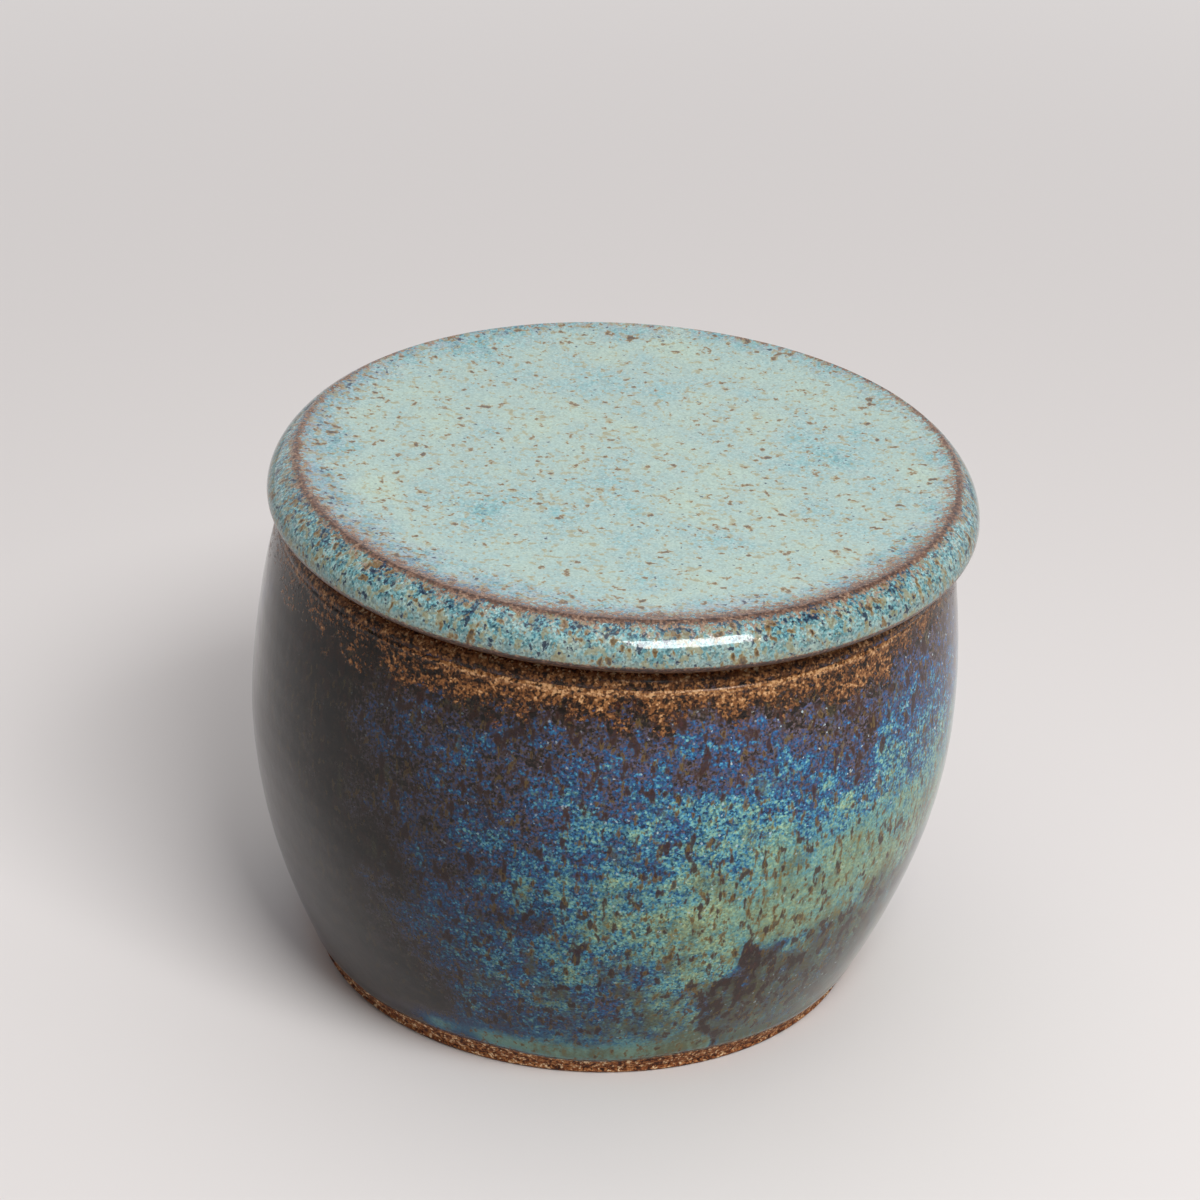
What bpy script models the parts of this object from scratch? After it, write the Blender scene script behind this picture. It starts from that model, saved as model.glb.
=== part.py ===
"""A wheel-thrown stoneware crock with a loose lid, glazed sea green over brown clay.

The crock is a barrel-shaped pot on a trimmed foot ring. The lid is a thick disc with a rolled edge
and no knob, which overhangs the crock's rim. A cup hangs upside down under it, inside the crock.

The frame is metres with +Z up. The origin is the centre of the foot ring, on the table. Both pieces
are turned about the Z axis, and each outline below is a half section of (radius, height) points.
"""

import math

import bpy

MM = 0.001

# Crock: outer shape
crock_height = 86.7 * MM  # table to the top of the rim
foot_radius = 50.2 * MM  # at the table
belly_radius = 64.5 * MM  # at the widest place
belly_height = 52.0 * MM  # where the crock is widest
rim_radius = 60.5 * MM  # outside, where the rim starts to round over
lower_fullness = 1.85  # exponent of the curve from foot to belly: 2 is near a circle
upper_fullness = 2.2  # exponent of the curve from belly to rim: more is a later, rounder shoulder

# Crock: clay
crock_wall = 5.0 * MM
floor_thickness = 5.5 * MM
foot_ring_width = 7.0 * MM
foot_ring_height = 2.5 * MM  # depth of the recess inside the foot ring
foot_edge_round = 0.8 * MM
foot_recess_round = 1.5 * MM
floor_round = 12.0 * MM  # between the floor and the wall, inside

# Lid: plate
seat_gap = 0.3 * MM  # the lid's underside stands this far off the rim
lid_overhang = 3.5 * MM  # past the rim's outer radius
edge_depth = 9.0 * MM  # how far in the rolled edge starts to turn
edge_fall = 3.6 * MM  # from the widest place down to the underside
edge_rise = 6.8 * MM  # from the widest place up to where the roll would lie level
ring_inset = 4.9 * MM  # from the outside in to the crisp ring that ends the rolled edge
dish_depth = 1.2 * MM  # how far the top sinks inside that ring
dish_flatness = 6.0  # exponent of the dish: more is a flatter middle with a shorter rise at the ring
plate_thickness = 7.5 * MM  # at the centre

# Lid: cup
cup_clearance = 12.2 * MM  # between the cup and the mouth of the crock
cup_flare = 1.5 * MM  # how much wider the cup is at its lip than under the plate
cup_wall = 4.5 * MM
cup_root_round = 3.0 * MM  # outside, under the plate
cup_ceiling_round = 8.0 * MM  # inside, under the plate
well_height = 27.0 * MM  # from the crock's floor up to the cup's lip

turns = 64  # faces round each piece

# Worked out from the sizes above
rim_round = crock_wall / 2
rim_start_height = crock_height - rim_round
floor_height = foot_ring_height + floor_thickness
mouth_radius = rim_radius - crock_wall
lid_radius = rim_radius + lid_overhang
seat_height = crock_height + seat_gap
widest_height = seat_height + edge_fall
cup_radius = mouth_radius - cup_clearance  # at the lip
lip_height = floor_height + well_height


def spaced(count):
    """Evenly spaced shares from 0 to 1, with both ends."""
    return [i / count for i in range(count + 1)]


def bend(start, corner, end, count):
    """A curve from start to end that leaves and arrives along the lines to the corner point."""
    return [
        (
            (1 - t) ** 2 * start[0] + 2 * t * (1 - t) * corner[0] + t**2 * end[0],
            (1 - t) ** 2 * start[1] + 2 * t * (1 - t) * corner[1] + t**2 * end[1],
        )
        for t in spaced(count)
    ]


def ellipse_arc(centre, half_width, half_height, from_angle, to_angle, count):
    """An arc of an ellipse with level and upright axes, between two angles in degrees."""
    arc = []
    for t in spaced(count):
        angle = math.radians(from_angle + (to_angle - from_angle) * t)
        arc.append((centre[0] + half_width * math.cos(angle), centre[1] + half_height * math.sin(angle)))
    return arc


def crock_radius(height):
    """Outer radius: a power curve that falls from the belly to the foot, and another to the rim."""
    if height < belly_height:
        share = (belly_height - height) / belly_height
        return belly_radius - (belly_radius - foot_radius) * share**lower_fullness
    share = (height - belly_height) / (rim_start_height - belly_height)
    return belly_radius - (belly_radius - rim_radius) * share**upper_fullness


def crock_outline():
    """From the middle of the floor up the inside, over the rim, down the outside and under the foot."""
    wall_start = floor_height + floor_round
    slope = (crock_radius(wall_start + MM) - crock_radius(wall_start)) / MM
    wall_foot = crock_radius(wall_start) - crock_wall
    corner = (wall_foot - slope * floor_round, floor_height)
    recess_radius = foot_radius - foot_ring_width
    recess_top = foot_ring_height

    points = [(0.0, floor_height)]
    points += bend((corner[0] - floor_round, floor_height), corner, (wall_foot, wall_start), 6)
    inside = [wall_start + (rim_start_height - wall_start) * t for t in spaced(9)]
    points += [(crock_radius(z) - crock_wall, z) for z in inside[1:-1]]
    rim_centre = (rim_radius - rim_round, rim_start_height)
    points += ellipse_arc(rim_centre, rim_round, rim_round, 180, 0, 8)
    outside = [rim_start_height + (foot_edge_round - rim_start_height) * t for t in spaced(17)]
    points += [(crock_radius(z), z) for z in outside[1:-1]]
    foot_edge = (crock_radius(foot_edge_round) - foot_edge_round, foot_edge_round)
    points += ellipse_arc(foot_edge, foot_edge_round, foot_edge_round, 0, -90, 3)
    points += [(recess_radius, 0.0)]
    points += ellipse_arc(
        (recess_radius - foot_recess_round, recess_top - foot_recess_round),
        foot_recess_round,
        foot_recess_round,
        0,
        90,
        3,
    )
    points += [(0.0, recess_top)]
    return points


def lid_outline():
    """From the middle of the top over the rolled edge, along the underside and round the cup."""
    edge_centre = (lid_radius - edge_depth, widest_height)
    ring_angle = math.degrees(math.acos((edge_depth - ring_inset) / edge_depth))
    ring_radius = lid_radius - ring_inset
    ring_height = widest_height + edge_rise * math.sin(math.radians(ring_angle))
    top_centre = ring_height - dish_depth
    ceiling = top_centre - plate_thickness
    root_radius = cup_radius - cup_flare
    lip_round = cup_wall / 2
    lip_centre = (cup_radius - lip_round, lip_height + lip_round)

    points = [(0.0, top_centre)]
    shares = [1 - (1 - t) ** 2 for t in spaced(6)]
    points += [(ring_radius * t, top_centre + dish_depth * t**dish_flatness) for t in shares[1:-1]]
    points += ellipse_arc(edge_centre, edge_depth, edge_rise, ring_angle, 0, 8)
    points += ellipse_arc(edge_centre, edge_depth, edge_fall, 0, -90, 6)[1:]
    points += bend(
        (root_radius + cup_root_round, seat_height),
        (root_radius, seat_height),
        (root_radius, seat_height - cup_root_round),
        4,
    )
    points += ellipse_arc(lip_centre, lip_round, lip_round, 0, -180, 8)
    inner_root = root_radius - cup_wall
    points += bend(
        (inner_root, ceiling - cup_ceiling_round),
        (inner_root, ceiling),
        (inner_root - cup_ceiling_round, ceiling),
        5,
    )
    points += [(0.0, ceiling)]
    return points


def glaze(name, colour, roughness):
    material = bpy.data.materials.new(name)
    material.use_nodes = True
    shader = material.node_tree.nodes["Principled BSDF"]
    shader.inputs["Base Color"].default_value = (*colour, 1.0)
    shader.inputs["Roughness"].default_value = roughness
    shader.inputs["Metallic"].default_value = 0.0
    return material


def turned(name, outline, material):
    """A closed body turned about Z from a half section that starts and ends on the axis."""
    mesh = bpy.data.meshes.new(name)
    corners = [(radius, 0.0, height) for radius, height in outline]
    edges = [(i, i + 1) for i in range(len(corners) - 1)]
    mesh.from_pydata(corners, edges, [])
    piece = bpy.data.objects.new(name, mesh)
    bpy.context.scene.collection.objects.link(piece)
    piece.data.materials.append(material)
    screw = piece.modifiers.new("turn", "SCREW")
    screw.axis = "Z"
    screw.angle = math.tau
    screw.steps = turns
    screw.render_steps = turns
    screw.use_merge_vertices = True
    screw.merge_threshold = 0.01 * MM
    screw.use_smooth_shade = True
    return piece


for old in list(bpy.data.objects):
    bpy.data.objects.remove(old)

body_glaze = glaze("glazed_stoneware_blue", (0.045, 0.11, 0.155), 0.22)
lid_glaze = glaze("glazed_stoneware_green", (0.22, 0.42, 0.36), 0.22)

crock = turned("crock", crock_outline(), body_glaze)
lid = turned("lid", lid_outline(), lid_glaze)
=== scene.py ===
"""The look of a lidded stoneware crock: two hand-thrown pieces with a running glaze, in a plain studio.

Shapes are worked out in millimetres as half sections of (radius, height) points, which are turned about
the Z axis and written to the meshes in metres. An azimuth is in degrees round Z, from the front (-Y)
towards the right (+X). The glaze is laid on in two steps: numbers at each mesh point say how thick it
lies and where it breaks, and the materials turn them into colour with the fine grain on top.
"""

import math

import bpy
import numpy as np
from mathutils import Matrix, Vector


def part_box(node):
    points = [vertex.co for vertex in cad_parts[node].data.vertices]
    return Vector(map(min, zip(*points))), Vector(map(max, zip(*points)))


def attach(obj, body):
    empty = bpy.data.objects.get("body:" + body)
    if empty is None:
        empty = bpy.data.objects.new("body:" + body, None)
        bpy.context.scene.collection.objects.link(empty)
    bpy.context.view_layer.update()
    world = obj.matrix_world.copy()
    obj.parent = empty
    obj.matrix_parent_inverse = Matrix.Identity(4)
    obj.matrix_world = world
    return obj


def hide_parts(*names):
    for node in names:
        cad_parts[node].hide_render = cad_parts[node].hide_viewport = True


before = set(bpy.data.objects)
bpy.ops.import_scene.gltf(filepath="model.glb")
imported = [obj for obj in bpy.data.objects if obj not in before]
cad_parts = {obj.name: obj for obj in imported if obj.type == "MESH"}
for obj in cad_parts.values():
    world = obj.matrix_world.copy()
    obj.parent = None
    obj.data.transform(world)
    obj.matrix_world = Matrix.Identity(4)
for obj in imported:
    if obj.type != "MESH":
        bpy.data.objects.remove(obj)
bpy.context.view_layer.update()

MM = 0.001

# Crock, in mm: the outside as it was thrown, a little narrower than the round solid it covers
crock_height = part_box("crock")[1].z / MM
foot_radius = 49.7
belly_radius = 63.9
belly_height = 51.8
rim_radius = 60.1
lower_fullness = 1.87  # exponent from belly to foot
upper_fullness = 2.15  # exponent from belly to rim
crock_wall = 5.0
rim_round = crock_wall / 2
rim_start = crock_height - rim_round  # where the rim starts to round over
floor_height = 8.0
floor_round = 12.0
foot_ring_width = 7.0
foot_ring_height = 2.5
foot_edge_round = 0.8
foot_recess_round = 1.5
lean = 0.0167  # sideways, per mm of height
lean_height = 80.0  # where the leaning axis crosses the upright one
glaze_line = 3.8  # mean height of the glaze's lower edge
glaze_coat = 0.3  # thickness that ends there in a soft step
ridge_height = 83.6  # a thin ridge left by the thrower's tool under the rim
ridge_width = 0.35
ridge_rise = 0.22
ridge_azimuth = 8.0  # where it stands out most
ridge_spread = 42.0  # degrees to either side over which it fades to a trace
throwing_pitch = 5.6  # from one throwing ring to the next
throwing_depth = 0.012
fine_above = 81.5  # rows of the mesh lie closer above this height, for the ridge
fine_below = 8.5  # and below this one, for the glaze line

# Lid, in mm
lid_centre = np.array([1.1, -0.24])  # it sits a little off the crock's centre
lid_radius = 63.3
widest_height = 90.6
edge_depth = 9.0
edge_rise = 7.05
edge_fall = 3.6
ring_inset = 4.36  # from the outside in to the crisp ring on top
ring_shift = np.array([0.43, 1.1])  # the ring is not quite concentric with the edge
dish_depth = 1.2
dish_flatness = 6.0
dish_ripple_pitch = 6.5  # of the faint spiral in the dish
dish_ripple_rise = 0.02
ring_lobes = 3  # soft bulges round the ring
ring_lobe_rise = 0.25
seat_height = widest_height - edge_fall
cup_radius = 43.3
cup_flare = 1.5
cup_wall = 4.5
cup_root_round = 3.0
cup_ceiling_round = 8.0
lip_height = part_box("lid")[0].z / MM
plate_thickness = 7.5
ring_angle = math.degrees(math.acos((edge_depth - ring_inset) / edge_depth))  # on the roll's ellipse
ring_radius = lid_radius - ring_inset
ring_height = widest_height + edge_rise * math.sin(math.radians(ring_angle))  # the lid's highest place

columns = 400  # mesh faces round each piece
dish_rows = 64  # rows of points on the lid's top, from its middle to the ring

# Texture, in mm
crystal_grain = 0.36  # the real crystals are finer, and are drawn this coarse so that they show
salt_grain = 0.7  # of the soft light and dark mottling between the crystals
clump_size = 2.2  # the crystals gather in clumps
fleck_grain = 0.38  # where the glaze is dry
sand_grain = 0.36  # of the clay
swell_size = 2.6  # of the glassy surface, where the glaze ran
swell_depth = 0.035
grit_depth = 0.07

backdrop = "#e2dedd"  # the even tone that the camera sees behind the floor


# Half sections


def arc(centre, half_width, half_height, start, end, count):
    """Points on an ellipse with level and upright axes, between two angles in degrees."""
    angle = np.radians(np.linspace(start, end, count))
    return np.stack(
        [centre[0] + half_width * np.cos(angle), centre[1] + half_height * np.sin(angle)], axis=1
    )


def bend(start, corner, end, count):
    """A curve that leaves start and reaches end along the lines to the corner: a quadratic in t."""
    t = np.linspace(0, 1, count)[:, None]
    return (1 - t) ** 2 * np.array(start) + 2 * t * (1 - t) * np.array(corner) + t**2 * np.array(end)


def level(start, end, height, count):
    """A straight level run from one radius to another, without its first point."""
    radius = np.linspace(start, end, count + 1)[1:]
    return np.stack([radius, np.full(count, float(height))], axis=1)


def crock_radius(height):
    """Outside radius: a power curve that falls from the belly to the foot, and another to the rim."""
    below = np.clip((belly_height - height) / belly_height, 0, 1)
    above = np.clip((height - belly_height) / (rim_start - belly_height), 0, 1)
    return (
        belly_radius
        - (belly_radius - foot_radius) * below**lower_fullness
        - (belly_radius - rim_radius) * above**upper_fullness
    )


def crock_section():
    """From the middle of the floor up the inside, over the rim, down the outside and under the foot.

    Returns the points and how far each row belongs to the outside, 1 there and 0 elsewhere.
    """
    wall_start = floor_height + floor_round
    slope = crock_radius(wall_start + 1.0) - crock_radius(wall_start)
    wall_foot = crock_radius(wall_start) - crock_wall
    corner = (wall_foot - slope * floor_round, floor_height)
    recess = foot_radius - foot_ring_width
    recess_centre = (recess - foot_recess_round, foot_ring_height - foot_recess_round)
    edge_centre = (crock_radius(foot_edge_round) - foot_edge_round, foot_edge_round)

    inside_height = np.linspace(wall_start, rim_start, 40)[1:-1]
    outside_height = np.concatenate(
        [
            np.linspace(rim_start, fine_above, 16)[1:],
            np.linspace(fine_above, fine_below, 74)[1:],
            np.linspace(fine_below, foot_edge_round, 38)[1:-1],
        ]
    )
    outside = np.stack([crock_radius(outside_height), outside_height], axis=1)
    hidden_before = [
        np.array([[0.0, floor_height]]),
        level(0, corner[0] - floor_round, floor_height, 16),
        bend((corner[0] - floor_round, floor_height), corner, (wall_foot, wall_start), 12)[1:],
        np.stack([crock_radius(inside_height) - crock_wall, inside_height], axis=1),
        arc((rim_radius - rim_round, rim_start), rim_round, rim_round, 180, 0, 15),
    ]
    hidden_after = [
        arc(edge_centre, foot_edge_round, foot_edge_round, 0, -90, 6),
        level(foot_radius - foot_edge_round, recess, 0, 4),
        arc(recess_centre, foot_recess_round, foot_recess_round, 0, 90, 6),
        level(recess - foot_recess_round, 0, foot_ring_height, 8),
    ]
    before, after = np.concatenate(hidden_before), np.concatenate(hidden_after)
    share = np.concatenate([np.zeros(len(before)), np.ones(len(outside)), np.zeros(len(after))])
    return np.concatenate([before, outside, after]), share


def lid_section():
    """From the middle of the top over the rolled edge, along the underside and round the cup.

    Returns the points, how far each row follows the off-centre ring, and the share of the visible side.
    """
    top_centre = ring_height - dish_depth
    ceiling = top_centre - plate_thickness
    root = cup_radius - cup_flare
    lip_round = cup_wall / 2
    edge_centre = (lid_radius - edge_depth, widest_height)

    share = 1 - (1 - np.linspace(0, 1, dish_rows)) ** 1.7
    top = np.stack([ring_radius * share, top_centre + dish_depth * share**dish_flatness], axis=1)
    roll = arc(edge_centre, edge_depth, edge_rise, ring_angle, 0, 34)[1:]
    below = arc(edge_centre, edge_depth, edge_fall, 0, -90, 16)[1:]
    seat = level(edge_centre[0], root + cup_root_round, seat_height, 8)
    root_bend = bend(
        (root + cup_root_round, seat_height), (root, seat_height), (root, seat_height - cup_root_round), 6
    )[1:]
    t = np.linspace(0, 1, 28)[1:-1, None]
    cup_side = np.array([[root, seat_height - cup_root_round]]) * (1 - t)
    cup_side = cup_side + np.array([[cup_radius, lip_height + lip_round]]) * t
    lip = arc((cup_radius - lip_round, lip_height + lip_round), lip_round, lip_round, 0, -180, 12)
    inner_root = root - cup_wall
    inner_side = np.array([[cup_radius - cup_wall, lip_height + lip_round]]) * (1 - t)
    inner_side = inner_side + np.array([[inner_root, ceiling - cup_ceiling_round]]) * t
    ceiling_bend = bend(
        (inner_root, ceiling - cup_ceiling_round),
        (inner_root, ceiling),
        (inner_root - cup_ceiling_round, ceiling),
        10,
    )
    ceiling_run = level(inner_root - cup_ceiling_round, 0, ceiling, 12)

    seen = np.concatenate([top, roll, below])
    hidden = np.concatenate([seat, root_bend, cup_side, lip, inner_side, ceiling_bend, ceiling_run])
    rise = np.clip((roll[:, 1] - widest_height) / (ring_height - widest_height), 0, 1)
    follows = np.concatenate([share, rise, np.zeros(len(below) + len(hidden))])
    shown = np.concatenate([np.ones(len(seen)), np.zeros(len(hidden))])
    return np.concatenate([seen, hidden]), follows, shown


# Surfaces


def turned(section, azimuth):
    """Turns a half section: each row of points goes round Z at its radius. Shape (rows, columns, 3)."""
    radius, height = section[:, 0, None], section[:, 1, None]
    turn = np.radians(azimuth)[None]
    return np.stack([radius * np.sin(turn), -radius * np.cos(turn), height + 0 * turn], axis=2)


def wander(points, size, seed):
    """Smooth noise of about -1 to 1: plane waves about size mm long in random directions, summed."""
    waves = 24
    rng = np.random.default_rng(seed)
    direction = rng.normal(size=(waves, 3))
    direction /= np.linalg.norm(direction, axis=1, keepdims=True)
    stretch = math.tau / (size * rng.uniform(0.7, 1.4, (waves, 1)))
    phase = rng.uniform(0, math.tau, waves)
    return np.cos(points @ (direction * stretch).T + phase).sum(axis=2) * math.sqrt(1 / waves)


def step(value, low, high):
    """0 below low and 1 above high, with a smooth rise between."""
    t = np.clip((value - low) / (high - low), 0, 1)
    return t * t * (3 - 2 * t)


def bump(value, centre, half_width):
    """A bell of height 1 about a centre."""
    return np.exp(-(((value - centre) / half_width) ** 2))


def around(azimuth, places, values):
    """Values given at a few azimuths, joined by straight lines that close into a circle."""
    return np.interp(azimuth, places, values, period=360)


def mesh_of(name, points, values):
    """A closed mesh from rows of points: quads between rows, and fans at the two poles on the axis.

    Each of values becomes a number at every point, for the materials to read.
    """
    rows, cols = points.shape[:2]
    poles = np.stack([points[0].mean(axis=0), points[-1].mean(axis=0)])
    inner = points[1:-1].reshape(-1, 3)
    vertices = np.concatenate([inner, poles]) * MM
    index = np.arange((rows - 2) * cols).reshape(rows - 2, cols)
    after = np.roll(index, -1, axis=1)
    quads = np.stack([index[:-1], index[1:], after[1:], after[:-1]], axis=2).reshape(-1, 4)
    first, last = len(inner), len(inner) + 1
    start_fan = np.stack([np.full(cols, first), index[0], after[0]], axis=1)
    end_fan = np.stack([np.full(cols, last), after[-1], index[-1]], axis=1)
    mesh = bpy.data.meshes.new(name)
    mesh.from_pydata(vertices, [], quads.tolist() + start_fan.tolist() + end_fan.tolist())
    mesh.shade_smooth()
    for key, value in values.items():
        value = np.broadcast_to(value, (rows, cols))
        flat = np.concatenate([value[1:-1].ravel(), [value[0].mean(), value[-1].mean()]])
        mesh.attributes.new(key, "FLOAT", "POINT").data.foreach_set("value", flat.astype(np.float32))
    piece = bpy.data.objects.new(name, mesh)
    bpy.context.scene.collection.objects.link(piece)
    return piece


def make_crock():
    """The pot: its half section turned, with throwing rings, the ridge, the glaze's edge and a lean.

    Outside, the radius gains a ripple that winds slowly round and a thin bell at the ridge, which fades
    away from the front. It loses the coat's thickness below the wavy glaze line. The axis then moves
    sideways in step with the height.
    """
    section, outside = crock_section()
    azimuth = np.arange(columns) * 360 / columns
    points = turned(section, azimuth)
    outside = outside[:, None]
    height = points[..., 2]
    azimuth = azimuth[None] + 0 * height
    signed = (azimuth + 180) % 360 - 180

    line = glaze_line + 0.5 * wander(points * [1, 1, 0], 26, 11)
    ripple = throwing_depth * np.sin(math.tau * (height / throwing_pitch + signed / 360))
    ripple = ripple * step(height, 10, 20) * (1 - step(height, 74, 80))
    ridge = ridge_rise * bump(height, ridge_height, ridge_width)
    ridge = ridge * (0.25 + 0.75 * bump(signed, ridge_azimuth, ridge_spread))
    coat = -glaze_coat * (1 - step(height, line - 0.1, line + 0.9)) + 0.1 * bump(height, line + 1.5, 1.0)
    gain = outside * (ripple + ridge + coat + 0.08 * wander(points, 30, 12) * step(height, 6, 14))
    turn = np.radians(azimuth)
    shaped = points + np.stack([gain * np.sin(turn), -gain * np.cos(turn), 0 * gain], axis=2)
    shaped[..., 0] += lean * (height - lean_height)

    return mesh_of("thrown_crock", shaped, crock_glaze(points, signed, height, outside, line))


def crawled_places(near, up):
    """Where the glaze crawled off the iron: a leaning streak, a field beside it, and smaller patches.

    Returns the streak, the field and the crawl, which is the largest of all of them, from 0 to 1.
    """
    lean_line = 26.5 + 0.17 * (up - 8)
    streak = bump(near, lean_line, 2.6 + 0.1 * (up - 8)) * (1 - step(up, 30, 34))
    rising = up - 0.28 * (near - 30)
    field = step(near, 27, 31) * (1 - step(near, 62, 76)) * (1 - step(rising, 22, 30))
    crawl = np.maximum(streak, 0.48 * field)
    patches = [  # azimuth and height of the middle, half width, half height, share
        (-35, 41, 8, 8, 0.8),
        (-14, 38, 5, 4, 0.5),
        (-20, 50, 4, 3, 0.35),
        (8, 15, 3.5, 2.5, 0.35),
        (12, 51, 3, 2, 0.35),
        (-10, 55, 3, 2, 0.3),
        (122, 24, 8, 13, 0.9),
        (-150, 30, 10, 7, 0.7),
    ]
    for place, middle, wide, tall, strength in patches:
        crawl = np.maximum(crawl, strength * bump(near, place, wide) * bump(up, middle, tall))
    return streak, field, crawl


def crock_glaze(points, azimuth, height, outside, line):
    """How the glaze lies on the crock: depth, tone, grain, iron, gold, olive and clay.

    Depth follows the height, as the glaze ran down and pooled, times a share that follows the azimuth.
    Tone darkens it where it is thin over the iron glaze. Both are read at places that wander a little:
    near is such an azimuth and up such a height, and low is near, turned to the left towards the foot.
    Both fall where the glaze crawled and left the iron.
    """
    near = azimuth + 3.0 * wander(points, 24, 21) + 3.5 * wander(points, 9, 22)
    up = height + 1.2 * wander(points, 24, 23) + 1.6 * wander(points, 8, 24)
    low = near - 9 * step(-up, -34, -12) * (1 - step(near, 10, 30))
    depth = np.interp(
        up,
        [4, 8, 12, 18, 26, 33, 41, 50, 57, 62, 65, 68, 72, 76, 80, 86],
        [0.80, 0.79, 0.75, 0.73, 0.78, 0.85, 0.87, 0.78, 0.69, 0.61, 0.55, 0.48, 0.42, 0.34, 0.27, 0.2],
    )
    places = [-180, -150, -125, -95, -70, -44, -36, -30, -22, -14, -6, 2, 10, 20, 80, 96, 112, 126, 150]
    share = around(
        low,
        places,
        [0.95, 1, 0.9, 0.6, 0.25, 0.2, 0.34, 0.48, 0.6, 0.68]
        + [0.76, 0.81, 0.88, 0.98, 1, 0.85, 0.6, 0.7, 0.9],
    )
    tone = around(
        low,
        places,
        [0.9, 1, 0.85, 0.5, 0.3, 0.24, 0.28, 0.35, 0.45, 0.55]
        + [0.65, 0.73, 0.8, 0.96, 1, 0.85, 0.6, 0.7, 0.9],
    )
    depth = depth * (share + (1 - share) * 0.6 * step(up, 58, 72) * step(share, 0.15, 0.5))

    streak, field, crawl = crawled_places(near, up)
    depth = depth * (1 - 0.45 * crawl - 0.2 * streak) + 0.13 * field * wander(points, 4.5, 27)
    tone = tone * (1 - 0.5 * crawl)

    # A smooth roll of pooled glaze runs along its lower edge
    pool = around(near, [-180, -100, -62, -46, -18, 100, 125, 150], [0.9, 0.5, 0, 0.1, 0.95, 1, 0.6, 1])
    smooth_foot = bump(height, line + 2.6, 2.8) * (1 - crawl) * pool
    depth = depth + (0.88 - depth) * 0.85 * smooth_foot
    tone = tone + (0.85 - tone) * 0.7 * smooth_foot

    # More iron bleeds through towards the rim and where the glaze crawled, less where it pooled
    iron = np.interp(
        up,
        [4, 9, 12, 30, 48, 56, 62, 70, 76, 82],
        [-0.1, -0.06, 0, -0.01, -0.01, -0.02, -0.015, 0.01, 0.04, 0.07],
    )
    iron = iron + (0.10 + 0.06 * wander(points, 4, 28)) * crawl + 0.08 * streak
    iron = iron + (0.03 + 0.07 * wander(points, 7, 29)) * (1 - share) * step(share, 0.25, 0.5)
    iron = iron + 0.22 * bump(height, line + 0.3, 0.3)

    # Gold is the thin dry band under the rim, palest on the ridge, where the glaze breaks thin and a
    # painted highlight lightens it further
    gold = step(up, 76, 83) * around(
        near,
        [-180, -120, -75, -44, -30, -12, 40, 56, 75, 110, 150],
        [0.8, 0.9, 0.4, 0.45, 0.62, 1, 1, 0.85, 0.6, 0.7, 0.9],
    )
    above_ridge = step(height, ridge_height, ridge_height + 0.8)
    # The bell at the ridge's height is partly thin glaze and partly a painted highlight along the ridge
    gold = gold * (1 + 0.5 * bump(height, ridge_height, 0.6) + 0.35 * above_ridge)

    # The crystals are fewest where the glaze pooled smooth and in the milky green
    grain = np.interp(
        up, [4, 9, 16, 30, 42, 52, 62, 75, 86], [0.2, 0.45, 0.9, 0.85, 0.8, 0.9, 1.0, 1.0, 0.8]
    )
    milky = step(near, 14, 34) * (1 - step(near, 90, 110)) * step(up, 24, 34) * (1 - step(up, 50, 60))
    grain = (grain - 0.35 * milky) * (1 - 0.6 * smooth_foot)
    grain = grain * np.interp(share, [0.2, 0.45, 0.65, 0.95], [0.5, 1.05, 1.15, 1])
    # Olive, darker and warmer towards the foot: partly an iron stain, partly painted shade and warm
    # bounced light; the crawled field adds its own stain
    olive_stain_and_shade = np.interp(up, [3, 8, 22, 30, 44, 56], [0.95, 0.9, 0.62, 0.4, 0.28, 0]) * step(share, 0.5, 0.95)
    olive_stain_and_shade = np.clip(olive_stain_and_shade + 0.25 * wander(points, 10, 26) + 0.75 * field, 0, 1)

    # Bare clay below the glaze line, on the rim's top and under the foot, and even glaze inside
    clay = 1 - step(height, line - 0.25, line + 0.15)
    clay_inside = step(height, crock_height - 0.9, crock_height - 0.3)
    pooled = np.interp(height, [8, 16, 60, 80, crock_height], [0.9, 0.84, 0.78, 0.55, 0.2])
    pooled = pooled + 0.06 * wander(points, 14, 25)
    inside = 1 - outside
    hidden_foot = inside * (height < floor_height - 1)
    return {
        "depth": np.clip(outside * depth + inside * pooled, 0, 1),
        "tone": outside * tone + inside,
        "grain": np.clip(outside * grain + inside * 0.5, 0, 1.4),
        "iron": outside * iron,
        "gold": outside * gold + inside * step(height, 82, 86),
        "olive_stain_and_shade": outside * olive_stain_and_shade,
        "clay": np.clip(outside * clay + inside * clay_inside + hidden_foot, 0, 1),
    }


def make_lid():
    """The lid: its half section turned and moved off centre, with the ring's own offset and lobes.

    Rows near the ring slide sideways by the ring's shift, and in and out by a sine of the azimuth, both
    less the further they are from it. The top is raised and lowered by a sine that winds in a spiral.
    """
    section, follows, shown = lid_section()
    azimuth = np.arange(columns) * 360 / columns
    points = turned(section, azimuth)
    turn = np.radians(azimuth)[None]
    radius = section[:, 0, None] + 0 * turn
    spiral = dish_ripple_rise * np.sin(math.tau * radius / dish_ripple_pitch - turn)
    flat = follows * (np.arange(len(follows)) < dish_rows)
    spiral = spiral * (bump(flat, 0.55, 0.35) * shown)[:, None]
    shaped = points.copy()
    lobes = ring_lobe_rise * np.sin(ring_lobes * (turn - math.pi / 2)) * (follows**3)[:, None]
    shaped[..., 0] += lid_centre[0] + ring_shift[0] * (follows**2)[:, None] + lobes * np.sin(turn)
    shaped[..., 1] += lid_centre[1] + ring_shift[1] * (follows**2)[:, None] - lobes * np.cos(turn)
    shaped[..., 2] += spiral
    return mesh_of("thrown_lid", shaped, lid_glaze(points, np.degrees(turn), radius, shown[:, None]))


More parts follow.
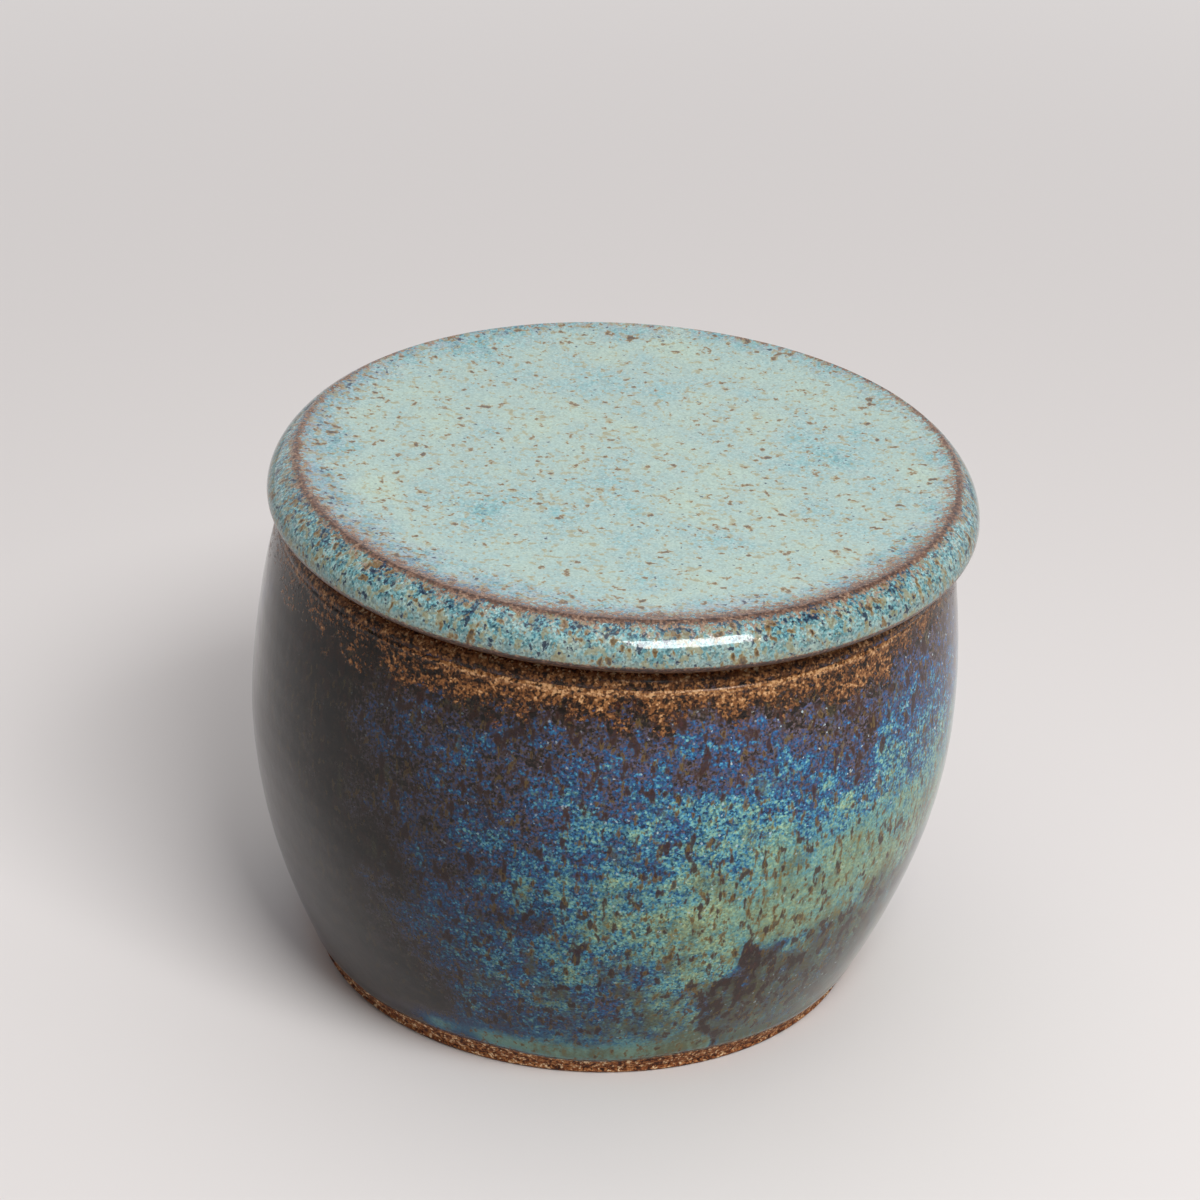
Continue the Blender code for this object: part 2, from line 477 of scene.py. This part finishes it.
def lid_glaze(points, azimuth, radius, shown):
    """How the glaze lies on the lid: depth, grain, tone, iron, haze, rim and clay.

    Depth is nearly even in the middle with soft thinner patches, falls towards the crisp ring, where it
    broke to brown, recovers down the roll and ends above the seat. Haze is the lavender inside the ring,
    and rim marks the ring with its halo, and the roll's underside below its widest place, which it
    darkens to copper-brown as partly a brown break and partly painted shade.
    """
    height = points[..., 2]
    azimuth = (azimuth + 180) % 360 - 180
    front = 0.5 + 0.5 * np.cos(np.radians(azimuth - 8))
    top = (height > widest_height) & (radius <= ring_radius + 0.01) & (shown > 0)
    roll = (shown > 0) & ~top

    reach = radius + 1.8 * wander(points, 11, 31) + 1.0 * wander(points, 4, 32)
    x, y = points[..., 0] + 2 * wander(points, 12, 33), points[..., 1] + 2 * wander(points, 12, 34)
    depth = 0.84 + 0.05 * wander(points, 30, 35) + 0.06 * wander(points, 10, 37)
    thinner = [(36, 12, 7, 13), (-29, -17, 9, 8), (-4, 35, 15, 5), (18, -26, 10, 5), (0, -6, 6, 5)]
    for place_x, place_y, half_x, half_y in thinner:
        depth = depth - 0.18 * bump(x, place_x, half_x) * bump(y, place_y, half_y)
    side = 0.6 + 0.4 * np.cos(np.radians(azimuth + 40))
    haze = step(reach, 53 - 7 * side, 60) * (0.3 + 0.7 * side)
    depth_top = depth - 0.36 * haze
    core = bump(radius, ring_radius - 0.1, 1.0) * (0.1 + 0.9 * np.sqrt(front))
    halo = bump(radius, ring_radius - 0.9 * front, 1.2 + 1.2 * front) * (0.22 + 0.38 * front)
    rim = np.maximum(core, halo)
    fall = np.clip((ring_height - height) / (ring_height - seat_height), 0, 1)
    depth_roll = np.interp(
        fall, [0, 0.08, 0.2, 0.35, 0.5, 0.62, 0.8], [0.42, 0.46, 0.56, 0.64, 0.72, 0.84, 0.92]
    )
    clouds = 0.13 * wander(points, 10, 36) + 0.08 * wander(points, 4.5, 38)
    depth_roll = depth_roll + clouds * (1 - fall)
    grain_top = 0.22 + 0.7 * haze + 1.2 * np.clip(0.82 - depth, 0, 0.3)
    tone_roll = np.interp(fall, [0, 0.15, 0.4, 0.7, 1], [0.95, 0.88, 0.8, 0.62, 0.5])
    under = np.interp(height, [35, 40, 80, 88], [0.55, 0.8, 0.86, 0.9])
    brown_lip = bump(height, lip_height, 1.6)
    return {
        "depth": np.clip(np.where(top, depth_top, np.where(roll, depth_roll, under)), 0, 1),
        "grain": np.clip(np.where(top, grain_top, np.where(roll, 1.15 - 0.7 * fall, 0.35)), 0, 1.3),
        "tone": np.where(roll, tone_roll, 1.0 - 0.1 * haze * top),
        "iron": np.where(top, 0.05 * haze, np.where(roll, 0.028, 0)) + 0.012 * wander(points, 12, 39),
        "haze": np.where(top, haze, 0),
        # Below the roll's widest place rim is raised to dark copper-brown: partly a brown break, partly
        # painted shade under the roll
        "rim": np.where(shown > 0, np.clip(rim, 0, 1) + 1.5 * step(fall, 0.63, 0.71), brown_lip),
        "clay": np.where(
            shown > 0, step(fall, 0.965, 0.995), step(height, seat_height - 1.2, seat_height - 0.4)
        ) * (height < seat_height + 0.5),
    }


# Materials


def linear(hex_colour):
    """An sRGB hex colour as linear RGBA."""
    channels = [int(hex_colour[i : i + 2], 16) / 255 for i in (1, 3, 5)]
    return [c / 12.92 if c <= 0.04045 else ((c + 0.055) / 1.055) ** 2.4 for c in channels] + [1.0]


def add(tree, kind, inputs, stops=None, **settings):
    """Adds a node. inputs maps sockets to values or to other nodes' outputs; stops fill a colour ramp."""
    node = tree.nodes.new(kind)
    for name, value in settings.items():
        setattr(node, name, value)
    for socket, value in inputs.items():
        if isinstance(value, bpy.types.NodeSocket):
            tree.links.new(value, node.inputs[socket])
        else:
            node.inputs[socket].default_value = value
    if stops:
        elements = node.color_ramp.elements
        while len(elements) < len(stops):
            elements.new(0.5)
        for element, (place, colour) in zip(elements, stops):
            element.position = place
            element.color = linear(colour)
    return node


def new_material(name):
    """An empty material, as (material, tree)."""
    material = bpy.data.materials.new(name)
    material.use_nodes = True
    material.node_tree.nodes.clear()
    return material, material.node_tree


MATH = "ShaderNodeMath"
NOISE = "ShaderNodeTexNoise"
CELLS = "ShaderNodeTexVoronoi"
RANGE = "ShaderNodeMapRange"
RAMP = "ShaderNodeValToRGB"
BLEND = "ShaderNodeMix"


def per(size):
    """The texture scale, per metre, that gives features of a size in mm."""
    return 1 / (size * MM)


def grains(tree, coords, size, seed):
    """Random numbers that are the same within each grain of about size mm: red and green outputs."""
    shifted = add(tree, "ShaderNodeMapping", {"Vector": coords, "Location": (seed * 0.1, 0, 0)})
    cells = add(tree, CELLS, {"Vector": shifted.outputs[0], "Scale": per(size)})
    parts = add(tree, "ShaderNodeSeparateColor", {0: cells.outputs["Color"]})
    return parts.outputs[0], parts.outputs[1]


def sum_of(tree, start, terms):
    """start plus each term's output times its weight, less the weight's half, as noise is about 0.5."""
    total = start
    for output, weight in terms:
        part = add(tree, MATH, {0: output, 1: weight, 2: total}, operation="MULTIPLY_ADD").outputs[0]
        total = add(tree, MATH, {0: part, 1: weight / 2}, operation="SUBTRACT").outputs[0]
    return total


def layered(tree, colour, layers):
    """Lays (share, colour) pairs over a colour in turn, each by its share from 0 to 1."""
    for share, above in layers:
        colour = add(tree, BLEND, {0: share, 6: colour, 7: above}, data_type="RGBA").outputs[2]
    return colour


def iron_spots(tree, coords, size, more, strength, stops):
    """Iron that bled through: spots where noise of about size mm stands high, as (share, colour).

    more raises the noise, for more and larger spots, and strength is the share in their middle. The
    colour goes from the first of the stops at a spot's soft edge to the last in its core.
    """
    noise = add(tree, NOISE, {"Vector": coords, "Scale": per(size), "Detail": 3.0}).outputs[0]
    risen = add(tree, MATH, {0: noise, 1: more}, operation="ADD").outputs[0]
    edge = stops[0][0]
    share = add(tree, RANGE, {0: risen, 1: edge - 0.03, 2: edge + 0.03, 4: strength}).outputs[0]
    return share, add(tree, RAMP, {0: risen}, stops=stops).outputs[0]


def bare_clay(tree, coords):
    """Unglazed stoneware: the colour of iron-rich sand with pale grog."""
    sand = grains(tree, coords, sand_grain, 5)[0]
    patch = add(tree, NOISE, {"Vector": coords, "Scale": per(1.2), "Detail": 3.0}).outputs[0]
    mixed = sum_of(tree, sand, [(patch, 2.2)])
    stops = [(0.0, "#381a0c"), (0.3, "#733d1e"), (0.6, "#9b5c31"), (0.88, "#bd824f"), (1, "#eacba0")]
    return add(tree, RAMP, {0: mixed}, stops=stops).outputs[0]


def finished(tree, coords, colour, dry, clay, grit, gloss, ior):
    """The surface itself: glassy where glazed, satin where the glaze is thin and dry, matt on clay.

    The glaze swells gently every few mm, as it does where it ran; grit stands up where it is dry.
    """
    rough = add(tree, RANGE, {0: dry, 3: gloss, 4: 0.3}).outputs[0]
    rough = add(tree, BLEND, {0: clay, 2: rough, 3: 0.75}).outputs[0]
    swell = add(tree, NOISE, {"Vector": coords, "Scale": per(swell_size), "Detail": 2.0}).outputs[0]
    glassy = add(tree, "ShaderNodeBump", {"Distance": swell_depth * MM, "Height": swell}).outputs[0]
    open_grain = add(tree, MATH, {0: dry, 1: clay}, operation="MAXIMUM").outputs[0]
    gritty = add(tree, MATH, {0: grit, 1: open_grain}, operation="MULTIPLY").outputs[0]
    relief = add(
        tree, "ShaderNodeBump", {"Distance": grit_depth * MM, "Height": gritty, "Normal": glassy}
    ).outputs[0]
    shader = add(
        tree,
        "ShaderNodeBsdfPrincipled",
        {"Base Color": colour, "Roughness": rough, "IOR": ior, "Normal": relief},
    )
    add(tree, "ShaderNodeOutputMaterial", {0: shader.outputs[0]})


def golden_band(tree, coords, gold, clump):
    """The thin golden band under the rim, with black specks, broken into flecks along its lower edge.

    Returns the band and the specks, each as (share, colour), and the grit of the dry surface.
    """
    fleck, grit = grains(tree, coords, fleck_grain, 6)
    burnt = add(tree, NOISE, {"Vector": coords, "Scale": per(0.9), "Detail": 3.0, "Roughness": 0.6})
    burnt = burnt.outputs[0]
    shade = sum_of(tree, 0.08, [(fleck, 0.65), (burnt, 1.6), (clump, 0.9)])
    shade = add(tree, MATH, {0: gold, 1: 0.46, 2: shade}, operation="MULTIPLY_ADD").outputs[0]
    stops = [
        (0.05, "#150c07"),
        (0.25, "#33200f"),
        (0.42, "#5c371c"),
        (0.60, "#82532d"),
        (0.80, "#a57345"),
        (1.00, "#d4a676"),
    ]
    golden = add(tree, RAMP, {0: shade}, stops=stops).outputs[0]
    thin = sum_of(tree, gold, [(burnt, 2.0), (clump, 1.6), (fleck, 0.3)])
    bare = add(tree, RANGE, {0: thin, 1: 0.3, 2: 0.6}).outputs[0]
    near_rim = add(tree, RANGE, {0: gold, 1: 0.0, 2: 0.15}).outputs[0]
    bare = add(tree, MATH, {0: bare, 1: near_rim}, operation="MULTIPLY").outputs[0]
    black = [(0.60, "#3a2413"), (0.64, "#150d08")]
    more = add(tree, RANGE, {0: gold, 1: 0.2, 2: 1.3, 3: 0.06, 4: -0.03}).outputs[0]
    speck, burnt_black = iron_spots(tree, coords, 1.2, more, 0.95, black)
    speck = add(tree, MATH, {0: speck, 1: near_rim}, operation="MULTIPLY").outputs[0]
    return (bare, golden), (speck, burnt_black), grit


def rutile_blue_glaze():
    """Rutile blue glaze, poured over a brown iron glaze and fired until it ran.

    It gives the eye glassy depth that turns from near-black brown where it is thin, through cobalt
    with a salt-and-pepper crystal grain, to milky sea green where it pooled, with iron spots drawn
    downwards, a dry golden band at the rim and bare sandy clay at the foot.
    """
    material, tree = new_material("rutile_blue_glaze_on_stoneware")
    coords = add(tree, "ShaderNodeTexCoord", {}).outputs["Object"]
    drawn = add(tree, "ShaderNodeMapping", {"Vector": coords, "Scale": (1, 1, 0.5)}).outputs[0]
    runs = add(tree, "ShaderNodeMapping", {"Vector": coords, "Scale": (1, 1, 0.25)}).outputs[0]
    bands = add(tree, "ShaderNodeMapping", {"Vector": coords, "Scale": (0.6, 0.6, 1.3)}).outputs[0]
    depth, tone, grain, iron, gold, olive_stain_and_shade, clay = (
        add(tree, "ShaderNodeAttribute", {}, attribute_name=name).outputs["Fac"]
        for name in ("depth", "tone", "grain", "iron", "gold", "olive_stain_and_shade", "clay")
    )
    crystal, sparkle = grains(tree, coords, crystal_grain, 1)
    salt = add(tree, NOISE, {"Vector": coords, "Scale": per(salt_grain), "Detail": 2.0}).outputs[0]
    clump = add(tree, NOISE, {"Vector": bands, "Scale": per(clump_size), "Detail": 3.0}).outputs[0]
    cloud = add(tree, NOISE, {"Vector": coords, "Scale": per(7.0), "Detail": 3.0}).outputs[0]
    run = add(tree, NOISE, {"Vector": runs, "Scale": per(1.3), "Detail": 3.0}).outputs[0]

    # The glaze's depth with its grain gives its colour
    texture = sum_of(tree, 0.0, [(crystal, 0.24), (salt, 0.65), (clump, 0.55), (cloud, 0.75)])
    laid = add(tree, MATH, {0: texture, 1: grain, 2: depth}, operation="MULTIPLY_ADD").outputs[0]
    stops = [
        (0.00, "#130c08"),
        (0.12, "#21160f"),
        (0.21, "#3e2e26"),
        (0.29, "#554749"),
        (0.36, "#564f62"),
        (0.43, "#33456f"),
        (0.52, "#1d5283"),
        (0.60, "#2e7297"),
        (0.68, "#54909e"),
        (0.76, "#6b9b94"),
        (0.86, "#80a088"),
        (1.00, "#92a078"),
    ]
    colour = add(tree, RAMP, {0: laid}, stops=stops).outputs[0]
    uneven = sum_of(tree, 0.0, [(sparkle, 1.2), (salt, 1.5), (clump, 0.6)])
    value = add(tree, MATH, {0: uneven, 1: grain, 2: 1.0}, operation="MULTIPLY_ADD").outputs[0]
    colour = add(tree, "ShaderNodeHueSaturation", {"Value": value, "Color": colour}).outputs[0]

    # Olive where iron bled into it, darkened low on the body by painted shade and warm bounced light, and
    # ochre runs in the thick green
    stain_and_shade = sum_of(tree, olive_stain_and_shade, [(run, 2.0), (salt, 1.0)])
    stained_and_shaded = add(tree, RANGE, {0: stain_and_shade, 1: 0.25, 2: 1.0, 4: 0.8}).outputs[0]
    thick = add(tree, RANGE, {0: laid, 1: 0.76, 2: 0.92}).outputs[0]
    long_run = add(tree, RANGE, {0: run, 1: 0.56, 2: 0.66, 4: 0.8}).outputs[0]
    ochre = add(tree, MATH, {0: thick, 1: long_run}, operation="MULTIPLY").outputs[0]

    # Iron that bled through, and painted glints: rare pale specks that stand in for crystals catching the
    # light
    brown = [(0.60, "#4f382c"), (0.65, "#3e2217"), (0.70, "#33170d"), (0.80, "#4a2013"), (0.95, "#5a2a1c")]
    rust = [(0.59, "#7d6a38"), (0.65, "#684a22"), (0.71, "#3d2614")]
    bright = add(tree, RANGE, {0: sparkle, 1: 0.99, 2: 0.994}).outputs[0]
    bright = add(tree, MATH, {0: bright, 1: grain}, operation="MULTIPLY").outputs[0]
    bright = add(tree, MATH, {0: bright, 1: tone}, operation="MULTIPLY").outputs[0]
    more = add(tree, RANGE, {0: depth, 1: 0.5, 2: 0.8, 3: -0.045, 4: -0.008}).outputs[0]
    colour = layered(
        tree,
        colour,
        [
            (stained_and_shaded, linear("#5c5b3a")),
            (ochre, linear("#88723a")),
            # painted glints: pale specks of highlight
            (bright, linear("#b4c6cc")),
            iron_spots(tree, drawn, 1.6, iron, 0.9, brown),
            iron_spots(tree, drawn, 1.1, more, 0.85, rust),
        ],
    )
    colour = add(tree, "ShaderNodeHueSaturation", {"Value": tone, "Color": colour}).outputs[0]

    band, specks, grit = golden_band(tree, coords, gold, clump)
    colour = layered(tree, colour, [band, specks, (clay, bare_clay(tree, coords))])
    finished(tree, coords, colour, band[0], clay, grit, gloss=0.10, ior=1.38)
    return material


def copper_break_and_shade(tree, coords, rim, clump, salt):
    """The copper-brown break over the lid's ring, where the glaze ran thin, and the dark brown under its
    roll, partly a break and partly painted shade.

    Returns it as (share, colour), and the grit of its dry surface.
    """
    fleck, grit = grains(tree, coords, fleck_grain, 9)
    shade = sum_of(tree, 0.6, [(fleck, 0.7), (salt, 1.5)])
    shade = add(tree, MATH, {0: rim, 1: -0.3, 2: shade}, operation="MULTIPLY_ADD").outputs[0]
    stops = [(0.0, "#301c14"), (0.3, "#553728"), (0.6, "#785946"), (0.9, "#997f68")]
    copper = add(tree, RAMP, {0: shade}, stops=stops).outputs[0]
    thin = sum_of(tree, rim, [(clump, 1.0), (salt, 1.6), (fleck, 0.35)])
    bare = add(tree, RANGE, {0: thin, 1: 0.2, 2: 0.55}).outputs[0]
    near_rim = add(tree, RANGE, {0: rim, 1: 0.0, 2: 0.12}).outputs[0]
    bare = add(tree, MATH, {0: bare, 1: near_rim}, operation="MULTIPLY").outputs[0]
    return (bare, copper), grit


def sea_green_glaze():
    """Sea green rutile glaze on speckled stoneware, dipped and fired glossy.

    It gives the eye a milky, even green with soft blue clouds, iron specks that bled through, and a
    copper-brown line where it ran thin over the crisp ring of the lid.
    """
    material, tree = new_material("sea_green_glaze_on_stoneware")
    coords = add(tree, "ShaderNodeTexCoord", {}).outputs["Object"]
    drawn = add(tree, "ShaderNodeMapping", {"Vector": coords, "Scale": (1, 1, 0.7)}).outputs[0]
    depth, grain, tone, iron, haze, rim, clay = (
        add(tree, "ShaderNodeAttribute", {}, attribute_name=name).outputs["Fac"]
        for name in ("depth", "grain", "tone", "iron", "haze", "rim", "clay")
    )
    crystal, sparkle = grains(tree, coords, crystal_grain, 1)
    salt = add(tree, NOISE, {"Vector": coords, "Scale": per(salt_grain), "Detail": 2.0}).outputs[0]
    clump = add(tree, NOISE, {"Vector": coords, "Scale": per(clump_size), "Detail": 3.0}).outputs[0]
    texture = sum_of(tree, 0.0, [(crystal, 0.3), (salt, 1.1), (clump, 1.2)])
    laid = add(tree, MATH, {0: texture, 1: grain, 2: depth}, operation="MULTIPLY_ADD").outputs[0]
    stops = [
        (0.08, "#263146"),
        (0.24, "#38596c"),
        (0.38, "#588792"),
        (0.52, "#73a3a5"),
        (0.66, "#8aacad"),
        (0.80, "#98b1ac"),
        (1.00, "#a3b8a9"),
    ]
    colour = add(tree, RAMP, {0: laid}, stops=stops).outputs[0]
    bright = add(tree, MATH, {0: grain, 1: 0.5, 2: 1.02}, operation="MULTIPLY_ADD").outputs[0]
    dark = add(tree, MATH, {0: grain, 1: -0.5, 2: 0.98}, operation="MULTIPLY_ADD").outputs[0]
    value = add(tree, RANGE, {0: sparkle, 3: dark, 4: bright}).outputs[0]
    value = add(tree, MATH, {0: value, 1: tone}, operation="MULTIPLY").outputs[0]
    colour = add(tree, "ShaderNodeHueSaturation", {"Value": value, "Color": colour}).outputs[0]

    # Lavender inside the ring, where the glaze lies thin
    misty = sum_of(tree, haze, [(clump, 1.4), (salt, 1.4)])
    misty = add(tree, RANGE, {0: misty, 1: 0.1, 2: 1.1, 4: 0.5}).outputs[0]

    # Iron that bled through: faint tan clouds, ochre specks with dark cores, and dark blue ones
    tan = [(0.60, "#a39c74"), (0.68, "#8f7f50")]
    ochre = [(0.64, "#96835a"), (0.69, "#735732"), (0.75, "#433022")]
    navy = [(0.62, "#4a5a6c"), (0.66, "#232c40")]
    mottled = add(tree, RANGE, {0: grain, 1: 0.2, 2: 0.9, 3: -0.09, 4: 0.015}).outputs[0]
    colour = layered(
        tree,
        colour,
        [
            (misty, linear("#8590a8")),
            iron_spots(tree, drawn, 1.4, iron, 0.6, tan),
            iron_spots(tree, coords, 1.1, mottled, 0.9, navy),
            iron_spots(tree, drawn, 1.7, iron, 0.9, ochre),
        ],
    )

    line, grit = copper_break_and_shade(tree, coords, rim, clump, salt)
    colour = layered(tree, colour, [line, (clay, bare_clay(tree, coords))])
    finished(tree, coords, colour, line[0], clay, grit, gloss=0.07, ior=1.48)
    return material


# Studio

camera_pitch = 28.26
camera_yaw = 0.18
camera_roll = 3.4
camera_place = (0.0, -0.6354, 0.4101)
camera_lens = 119.9  # mm
sensor_width = 36.0  # mm
lamp_aim = 0.06  # m above the table: the height that the lamps face
floor_radius = 2.0  # m
floor_sides = 64
fade_start = 0.15  # m from the crock's axis: the floor fades to the backdrop's tone from here
fade_end = 0.8  # to here


def make_camera():
    """The photograph's viewpoint: a long lens that looks down at the lid, tilted a little."""
    data = bpy.data.cameras.new("camera")
    data.sensor_width = sensor_width
    data.sensor_fit = "HORIZONTAL"
    data.lens = camera_lens
    camera = bpy.data.objects.new("camera", data)
    bpy.context.scene.collection.objects.link(camera)
    camera.matrix_world = (
        Matrix.Translation(camera_place)
        @ Matrix.Rotation(math.radians(camera_yaw), 4, "Z")
        @ Matrix.Rotation(math.radians(90 - camera_pitch), 4, "X")
        @ Matrix.Rotation(math.radians(camera_roll), 4, "Z")
    )
    bpy.context.scene.camera = camera


def make_lamp(name, azimuth, elevation, distance, width, height, watts):
    """A soft box that faces the middle of the crock from an azimuth and an elevation."""
    data = bpy.data.lights.new(name, "AREA")
    data.shape = "RECTANGLE"
    data.size, data.size_y = width, height
    data.energy = watts
    lamp = bpy.data.objects.new(name, data)
    bpy.context.scene.collection.objects.link(lamp)
    lamp.matrix_world = (
        Matrix.Translation((0, 0, lamp_aim))
        @ Matrix.Rotation(math.radians(azimuth), 4, "Z")
        @ Matrix.Rotation(math.radians(90 - elevation), 4, "X")
        @ Matrix.Translation((0, 0, distance))
    )


def make_floor():
    """A wide pale disc under the crock, which the camera sees fade to the backdrop's tone far off."""
    angle = np.linspace(0, math.tau, floor_sides, endpoint=False)
    rim = floor_radius * np.stack([np.cos(angle), np.sin(angle), 0 * angle], axis=1)
    mesh = bpy.data.meshes.new("floor")
    mesh.from_pydata(rim, [], [list(range(floor_sides))])
    floor = bpy.data.objects.new("floor", mesh)
    bpy.context.scene.collection.objects.link(floor)
    material, tree = new_material("pale_matt_paper")
    shader = add(
        tree,
        "ShaderNodeBsdfPrincipled",
        {"Base Color": linear("#d8d4d2"), "Roughness": 0.9, "Specular IOR Level": 0.2},
    )
    coords = add(tree, "ShaderNodeTexCoord", {}).outputs["Object"]
    reach = add(tree, "ShaderNodeVectorMath", {0: coords}, operation="LENGTH").outputs["Value"]
    far = add(
        tree, RANGE, {0: reach, 1: fade_start, 2: fade_end}, interpolation_type="SMOOTHSTEP"
    ).outputs[0]
    ray = add(tree, "ShaderNodeLightPath", {}).outputs["Is Camera Ray"]
    faded = add(tree, MATH, {0: far, 1: ray}, operation="MULTIPLY").outputs[0]
    even = add(tree, "ShaderNodeEmission", {"Color": linear(backdrop)}).outputs[0]
    mixed = add(tree, "ShaderNodeMixShader", {0: faded, 1: shader.outputs[0], 2: even})
    add(tree, "ShaderNodeOutputMaterial", {0: mixed.outputs[0]})
    mesh.materials.append(material)


def make_world():
    """A soft room: pale wall light from behind (+Y), dimmer towards the front, seen as an even tone."""
    world = bpy.data.worlds.new("studio")
    bpy.context.scene.world = world
    world.use_nodes = True
    tree = world.node_tree
    tree.nodes.clear()
    direction = add(tree, "ShaderNodeTexCoord", {}).outputs["Generated"]
    parts = add(tree, "ShaderNodeSeparateXYZ", {0: direction}).outputs
    strength = add(
        tree, RANGE, {0: parts[1], 1: 0.0, 2: 0.9, 3: 0.16, 4: 1.0}, interpolation_type="SMOOTHSTEP"
    ).outputs[0]
    room = add(tree, "ShaderNodeBackground", {0: linear("#f6f2f4"), 1: strength}).outputs[0]
    seen = add(tree, "ShaderNodeBackground", {0: linear(backdrop), 1: 1.0}).outputs[0]
    ray = add(tree, "ShaderNodeLightPath", {}).outputs["Is Camera Ray"]
    mix = add(tree, "ShaderNodeMixShader", {0: ray, 1: room, 2: seen}).outputs[0]
    add(tree, "ShaderNodeOutputWorld", {0: mix})


crock = make_crock()
crock.data.materials.append(rutile_blue_glaze())
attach(crock, "crock")
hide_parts("crock")

lid = make_lid()
lid.data.materials.append(sea_green_glaze())
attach(lid, "lid")
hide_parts("lid")

make_camera()
make_lamp("key", azimuth=30, elevation=52, distance=1.1, width=0.58, height=0.35, watts=10.5)
make_lamp("overhead", azimuth=0, elevation=88, distance=1.2, width=1.2, height=1.2, watts=4.6)
make_floor()
make_world()
bpy.context.scene.view_settings.view_transform = "Standard"
